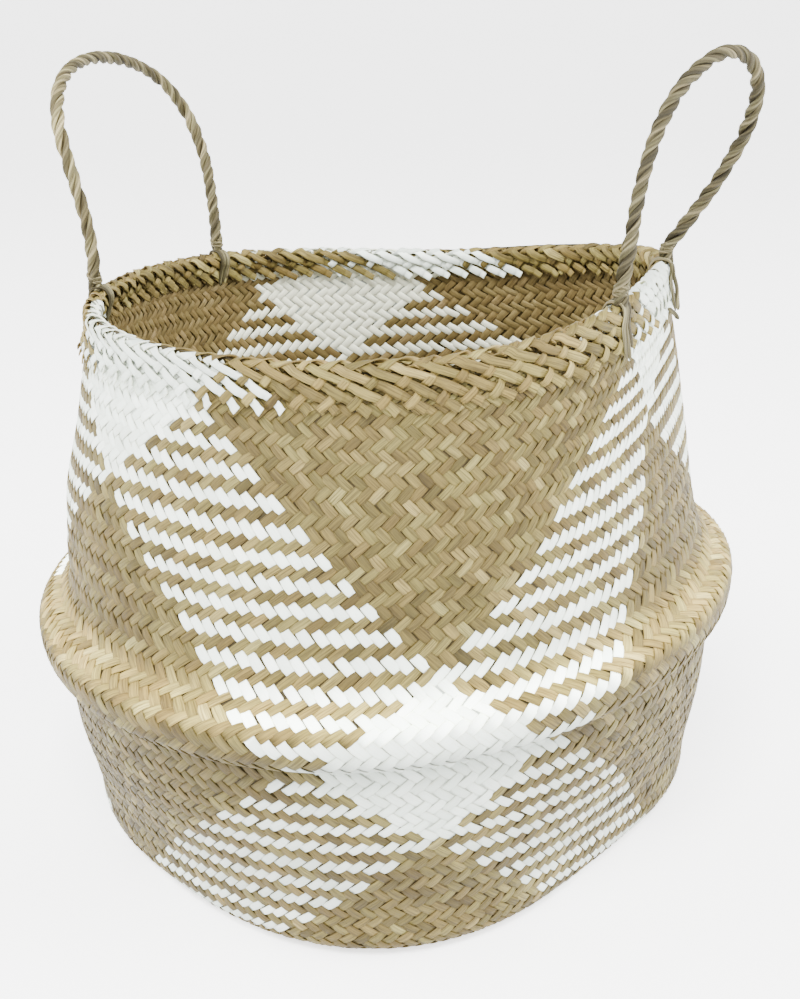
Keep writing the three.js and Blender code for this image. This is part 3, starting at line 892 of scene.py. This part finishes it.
def add_leaves():
    """Flat leaves outside and inside the crest."""
    crest_length = crest_section()[0][-2]
    middle = crest_length / 2
    for label, side, knots, lifts, group in (
        # The knots run from one end of the leaf to the other, and the lifts are its heights there.
        ("outer", 1, (-outer_tuck, -3.9, -1.5, middle - 2.4, middle - 0.4), (-0.6, 0.6, 1.05, 0.75, -0.9),
         border_kinds["falling"]["white"]),
        ("inner", -1, (middle + 0.4, middle + 2.4, crest_length + 1.5, crest_length + 3,
                       crest_length + inner_tuck), (-0.9, 0.75, 1.05, 0.6, -0.6), white_inside),
    ):
        home = np.arange(border_strips)[:, None] * 2.0
        share = np.linspace(0, 1, leaf_stations)[None, :] + np.zeros_like(home)
        distance = knots[0] + (knots[-1] - knots[0]) * share
        chance = random.uniform(0.8, 1.35, (border_strips, 1))
        lift = sum(np.interp(distance + step, knots, lifts) for step in (-0.8, -0.4, 0, 0.4, 0.8)) / 5
        lift = np.where(lift > 0, lift * chance, lift)
        travel = crest_travel(distance, crest_length)
        travel = travel + wander(border_strips, distance, (0.7, 0.4), (0.2, 0.6))
        path, outward = crest_paths(home, distance, travel, lift)
        lean = random.uniform(0.02, 0.26, (border_strips, 1, 1))
        outward = unit(outward + lean * np.cross(outward, unit(np.gradient(path, axis=1))))
        width = leaf_width * random.uniform(0.82, 1.06, (border_strips, 1))
        width = width * (0.86 + 0.14 * np.sin(math.pi * share))
        add_two_tone(
            f"edge_leaf_{label}", "rim_edge", side, in_white_group(home[:, 0], group),
            path, outward, width / 2, leaf_half_thickness,
        )


crest_strands = 2
crest_turns = border_strips // crest_strands
stations_per_turn = 36
crest_middle = 3.6
crest_reach = (2.7, 1.9)
crest_width = 4.3
crest_half_thickness = 0.4


def add_crest():
    """Strands that wind round the top of the edge. Each turn's upper half looks like one leaf."""
    stations = crest_turns * stations_per_turn
    share = (np.arange(stations) / stations)[None, :]
    strand = np.arange(crest_strands)[:, None]
    turn = 2 * math.pi * (strand / crest_strands + share * crest_turns)
    sway = wander(crest_strands, share * 2 * math.pi, (0.3, 0.25, 0.2), (9, 23, 57))
    pitches = share * strips_round + sway
    leaf = np.floor(turn / (2 * math.pi) + 0.25).astype(int) % crest_turns

    def leaf_chance(low, high):
        return random.uniform(low, high, (crest_strands, crest_turns))[strand, leaf]

    swell = leaf_chance(-0.25, 0.45)
    across, rise = ((reach + swell) * wave(turn) for reach, wave in zip(crest_reach, (np.cos, np.sin)))
    bearing = rim_bearing(pitches)
    path = on_body(wall_middle_radius + across, np.full_like(bearing, body_height), bearing)
    path[..., 2] += crest_middle + rise
    outward = rim_outward(pitches) * np.cos(turn)[..., None]
    outward[..., 2] += 1.4 * np.sin(turn)
    ahead = unit(np.roll(path, -1, 1) - np.roll(path, 1, 1))
    outward = unit(unit(outward) + 0.25 * np.cross(unit(outward), ahead))
    width = crest_width * (0.82 + 0.18 * np.sin(turn) ** 2) * leaf_chance(0.85, 1.06)
    attributes = {
        "run": length_along(path)[..., None] * mm, "across": section_across, "outer": section_outer,
        "tone": leaf_chance(0, 1)[..., None], "patch": leaf_chance(0, 1)[..., None],
    }
    # The white stretch is that of the outer border outside and of the inner border inside.
    inside = (1 - np.cos(turn)) / 2
    ends = zip(border_kinds["rising"]["white"], white_inside)
    coloured = in_white_group(pitches, [outer + (inner - outer) * inside for outer, inner in ends])
    shape = (crest_strands, stations, ribbon_corners)
    points = ribbon_points(path, outward, width / 2, crest_half_thickness).reshape(-1, 3)
    all_quads = tube_quads(*shape, closed=True)
    for name, wanted in (("natural", ~coloured), ("white", coloured)):
        slot = f"{name}_strip"
        chosen = wanted.ravel()[all_quads[:, 0] // ribbon_corners]
        used, quads = np.unique(all_quads[chosen], return_inverse=True)
        values = {key: np.broadcast_to(value, shape).ravel()[used] for key, value in attributes.items()}
        values["shade"] = border_paleness_and_painted_light[slot][1]
        piece = add_mesh(f"edge_crest_{name}", points[used], quads.reshape(-1, 4), values, slot)
        settle(piece, "rim_edge")


# Handles: three-ply ropes on the CAD part's own line.
rope_radius = 3.3
ply_radius = 1.75
ply_winding = rope_radius - ply_radius + 0.1
hitch_out = 2.5
hinge_lift = 12.4
foot_depth = 7.5
strand_sides = 30
strand_groove = 0.22
binding_shade = 0.66
left_handle = dict(
    side=-1, span=123, shift=11, height=103, fullness=0.58, bulge=0.53, skew=-5.5, lean=-1, curl=27,
    twist=0.1, lay=(31, 22), paleness=(0.85, 1.4, 0.72, 1.0, 0.7),
)
right_handle = dict(
    side=1, span=86, shift=-17, height=95, fullness=0.45, bulge=-0.36, skew=0, lean=25, curl=-11, twist=0.61,
    lay=(28, 20), paleness=(0.55, 0.58, 0.6, 0.56, 0.55),
)


def rim_place(side, y):
    """Origin, outward, up and along directions of the rim at a place along Y."""
    def middle(bearing):
        return on_body(np.array(wall_middle_radius), np.array(body_height), np.array(bearing))

    bearing = 0.0 if side > 0 else math.pi
    for _ in range(20):
        bearing += side * (y - middle(bearing)[1]) / wall_middle_radius
    step = math.radians(0.5)
    along = unit(middle(bearing - step) - middle(bearing + step))
    outward = unit(np.cross((0, 0, 1), along))
    return dict(
        bearing=bearing, origin=middle(bearing), outward=outward, up=np.cross(along, outward), along=along,
    )


def foot_places(handle):
    """The rim places of both feet, in the order in which the rope's line runs."""
    ends = (-0.5, 0.5) if handle["side"] < 0 else (0.5, -0.5)
    return [rim_place(handle["side"], handle["shift"] + end * handle["span"]) for end in ends]


def foot_centre(place):
    """The middle of the rope where its foot is bound, which is on the hinge's line."""
    return place["origin"] + place["outward"] * hitch_out + place["up"] * hinge_lift


def hinge_frame(handle):
    """Middle, along, outward and up directions of the line between a handle's feet, and its length."""
    start, end = (foot_centre(place) for place in foot_places(handle))
    span = np.linalg.norm(end - start)
    along = (end - start) / span
    up = unit(np.array((0, 0, 1)) - along * along[2])
    return (start + end) / 2, along, np.cross(up, along), up, span


def handle_line(handle, count=400):
    """Evenly spaced points of the rope's middle line, in the basket's frame."""
    origin, along, outward, up, span = hinge_frame(handle)
    share = np.linspace(0, 1, 6000)
    angle = math.pi * (share - np.sin(2 * math.pi * share) / (2 * math.pi))
    rise = np.sin(angle) ** handle["fullness"]
    height = handle["height"] * rise
    widening = 1 + handle["bulge"] * np.sin(angle)
    sideways = -span / 2 * np.cos(angle) * widening + handle["skew"] * np.sin(angle)
    out = (height * math.tan(math.radians(handle["lean"])) + handle["curl"] * rise ** 2
           - handle["twist"] * handle["side"] * sideways * rise)
    line = origin + sideways[:, None] * along + out[:, None] * outward + height[:, None] * up
    run = length_along(line)
    even = np.linspace(-foot_depth, run[-1] + foot_depth, count)
    below = np.minimum(even, 0) + np.minimum(run[-1] - even, 0)
    return point_at(even, run, line) + up * below[:, None], even + foot_depth


def frames_along(points, start_side):
    """Two directions square to a line, turned as little as can be from one point to the next."""
    tangents = unit(np.gradient(points, axis=0))
    sides = []
    for tangent in tangents:
        start_side = unit(start_side - tangent * (start_side @ tangent))
        sides.append(start_side)
    return np.array(sides), np.cross(tangents, sides)


def add_tube(name, points, run, start_side, radius, tone, lobes, lobe_lay, flatness=1.0, middle=None,
             shade=binding_shade):
    """A tube whose section has lobes that wind along it, like twisted strands. Where a middle line
    is given, the side that faces it is marked as inner."""
    first, second = frames_along(points, start_side)
    angle = np.linspace(0, 2 * math.pi, strand_sides, endpoint=False)[None, :]
    lobe = lobes * (angle / (2 * math.pi) - (run / lobe_lay)[:, None])
    ridge = np.abs(np.cos(math.pi * lobe)) ** 0.6
    size = radius[:, None] * (1 - strand_groove + strand_groove * ridge)
    surface = (points[:, None] + first[:, None] * (size * np.cos(angle))[..., None]
               + second[:, None] * (flatness * size * np.sin(angle))[..., None])
    if middle is not None:
        reach = np.linalg.norm(surface - middle[:, None], axis=-1)
        ridge = ridge * smooth_share(reach, rope_radius * 0.5, rope_radius * 0.92)
    strand = (lobe + 0.5) % lobes
    # Where outer is low, in the grooves and on the side facing the middle, the material paints shade.
    attributes = {
        "run": np.repeat(run * mm, strand_sides),
        "across": (strand % 1.0 - 0.5).ravel(),
        "outer": ridge.ravel(),
        "tone": ((np.floor(strand) * 0.377 + tone) % 1.0).ravel(),
        "patch": tone,
        "shade": np.repeat(shade * np.ones(len(run)), strand_sides),
    }
    quads = tube_quads(1, len(points), strand_sides)[:, ::-1]
    return add_mesh(name, surface.reshape(-1, 3), quads, attributes, "rope_strand")


def end_taper(run, length, least):
    """Radius along a strand over its full radius: it thins towards both ends."""
    return np.minimum(1, np.minimum(run, run[-1] - run) / length + least)


def add_handle(name, handle):
    line, run = handle_line(handle)
    places = foot_places(handle)
    sides, others = frames_along(line, places[0]["outward"])
    origin, _, _, up, _ = hinge_frame(handle)
    body = f"handle_{name}"
    lay = np.interp(run, (0, run[-1]), handle["lay"])
    turns = np.r_[0, np.cumsum(np.diff(run) / lay[1:])]
    loose = 0.14 * np.sin(run / 37.0) + 0.12 * np.sin(run / 13.0 + 1.0)
    paleness = np.interp(run / run[-1], (0, 0.25, 0.5, 0.75, 1), handle["paleness"])
    for ply in range(3):
        phase = 2 * math.pi * (turns + ply / 3) + 0.25 * np.sin(run / 29.0 + ply)
        away = sides * np.cos(phase)[:, None] + others * np.sin(phase)[:, None]
        radius = ply_radius * (1 + 0.06 * np.sin(run / 7.3 + ply * 2.1) + 0.05 * np.sin(run / 3.1 + ply))
        piece = add_tube(
            f"{name}_rope_ply_{ply + 1}", line + away * (ply_winding + loose)[:, None], run, away[0], radius,
            0.31 * ply + 0.1, lobes=5, lobe_lay=21.0, middle=line, shade=paleness,
        )
        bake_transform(piece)
        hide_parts(f"handle_{name}_ply_{ply + 1}")
    ends = ("front", "back") if handle["side"] < 0 else ("back", "front")
    for end, place in zip(ends, places):
        add_hitch(name, end, place, body)
        add_lashing(name, end, place)


hitch_turns = 2.6
hitch_reach = 2.75
hitch_rise = (-2.9, 1.6)


def add_hitch(name, end, place, body):
    """Turns of strand that bind the plies above the rim."""
    angle = np.linspace(0, 2 * math.pi * hitch_turns, 110)
    reach = hitch_reach + 0.3 * np.sin(angle * 0.7)
    rise = np.linspace(*hitch_rise, len(angle)) + 0.9 * np.sin(angle + 0.6)
    points = (foot_centre(place) + place["outward"] * (reach * np.cos(angle))[:, None]
              + place["along"] * (reach * 0.92 * np.sin(angle))[:, None] + place["up"] * rise[:, None])
    run = length_along(points)
    piece = add_tube(f"{name}_{end}_hitch", points, run, place["up"], end_taper(run, 3, 0.35), 0.6, 4, 13)
    settle(piece, f"handle_{name}_hitch_{end}", body)


def lashing_profile(outside, inside):
    """Out and up from the rim's middle, over the edge and down both borders, in millimetres."""
    beside = wall_thickness / 2 + 2.7
    down_out = [(beside, -depth) for depth in np.linspace(outside, 4, 5)]
    down_in = [(-beside, -depth) for depth in np.linspace(4, inside, 4)]
    over = [(5.2, 0.0), (5.3, 3.2), (3.9, 6.2), (0.6, 7.0), (-2.6, 6.4), (-4.9, 3.4), (-5.1, 0.4)]
    return smooth_run(np.array(down_out + over + down_in), 10)


def add_lashing(name, end, place):
    """Three strands laced over the rim, loosely parallel, that fan out a little outside."""
    for strand, spread in enumerate((-1, 0, 1)):
        profile = lashing_profile(17.5 - 3.2 * abs(spread) + 1.5 * strand, 13 - 2 * strand)
        down = np.maximum(-profile[:, 1], 0) * (profile[:, 0] > 0)
        sideways = spread * (2.3 + 0.06 * down) + 0.06 * down
        points = beside_rim(place, profile[:, 0], profile[:, 1], sideways)
        run = length_along(points)
        even = np.linspace(0, run[-1], 90)
        piece = add_tube(
            f"{name}_{end}_lashing_{strand + 1}", point_at(even, run, points), even, place["along"],
            1.3 * end_taper(even, 3, 0.3), 0.2 + 0.3 * strand, lobes=4, lobe_lay=60, flatness=0.6,
        )
        settle(piece, f"lashing_{name}_{end}")


def beside_rim(place, out, rise, sideways):
    """Points by a rim place: out from the wall's middle at their height, and along the rim."""
    height = np.minimum(body_height + rise, body_height)
    middle = on_body(wall_radius(height) - wall_thickness / 2, height, np.full_like(height, place["bearing"]))
    slope = (middle - place["origin"]) @ place["outward"]
    return (place["origin"] + place["outward"] * (out + slope)[:, None]
            + np.array((0.0, 0, 1)) * rise[:, None] + place["along"] * sideways[:, None])


# Loose strands by the back foot of the right handle: out, up and along the rim, in millimetres.
tail_line = ((5.6, 6, 6.0), (6.6, 1, 6.5), (7.2, -6, 7.0), (6.6, -12, 6.4), (6.0, -17.5, 5.4))
stub_line = ((3.4, -13, 27.0), (4.8, -14.6, 25), (6.0, -16.6, 22.5), (6.6, -19, 20))


def add_loose_strands():
    """A tail that hangs by the foot, and a stub below the border."""
    place = foot_places(right_handle)[0]
    for name, marks, radius in (("tail", tail_line, 1.5), ("stub", stub_line, 1.6)):
        points = beside_rim(place, *smooth_run(marks, 14).T)
        run = length_along(points)
        piece = add_tube(
            f"loose_{name}", points, run, place["along"], radius * end_taper(run, 2.5, 0.45), 0.5,
            lobes=3, lobe_lay=30, flatness=0.7,
        )
        settle(piece, f"strand_{name}")


add_cloth()
add_core()
add_base_mat()
add_border(1)
add_border(-1)
add_leaves()
add_crest()
add_handle("left", left_handle)
add_handle("right", right_handle)
add_loose_strands()

# Stage: a plain pale floor, a pale surround and soft light.
floor_glow = 1.8
surround_strength = 1.5
floor_segments = 96
floor_rings = [(0.8, 0.0), (3.0, 0.0), (4.2, 0.15), (5.2, 0.7), (5.8, 1.6), (6.0, 2.6)]


def add_floor():
    """A wide floor that curves up far away, so that no line shows behind the basket."""
    nodes = Nodes("floor")
    nodes.surface(
        Base_Color=(0.9, 0.9, 0.9, 1), Roughness=0.7,
        Emission_Color=(1, 1, 1, 1), Emission_Strength=floor_glow,
    )
    points = [(0.0, 0.0, 0.0)]
    for radius, height in floor_rings:
        for bearing in np.linspace(0, 2 * math.pi, floor_segments, endpoint=False):
            points.append((radius * math.cos(bearing), radius * math.sin(bearing), height))
    faces = []
    for place in range(floor_segments):
        beside = (place + 1) % floor_segments
        faces.append((0, 1 + place, 1 + beside))
        for ring in range(len(floor_rings) - 1):
            low = 1 + ring * floor_segments
            high = low + floor_segments
            faces.append((low + place, high + place, high + beside, low + beside))
    mesh = bpy.data.meshes.new("floor")
    mesh.from_pydata(points, [], faces)
    mesh.shade_smooth()
    mesh.materials.append(nodes.material)
    floor = bpy.data.objects.new("floor", mesh)
    bpy.context.scene.collection.objects.link(floor)


def add_light(name, place, size, power):
    """A square lamp that points at the camera's aim."""
    data = bpy.data.lights.new(name, "AREA")
    data.size = size
    data.energy = power
    light = bpy.data.objects.new(name, data)
    light.location = place
    light.rotation_euler = (camera_aim - Vector(place)).to_track_quat("-Z", "Y").to_euler()
    bpy.context.scene.collection.objects.link(light)


def add_surround():
    world = bpy.data.worlds.new("surround")
    world.use_nodes = True
    background = world.node_tree.nodes["Background"]
    background.inputs["Color"].default_value = (1, 1, 1, 1)
    background.inputs["Strength"].default_value = surround_strength
    bpy.context.scene.world = world


add_floor()
add_surround()
add_light("key", (0.2, -1.2, 2.0), 0.9, 150)
add_light("fill_right", (1.7, 0.2, 1.2), 1.3, 85)
add_light("fill_left", (-1.7, -0.5, 1.3), 1.3, 65)
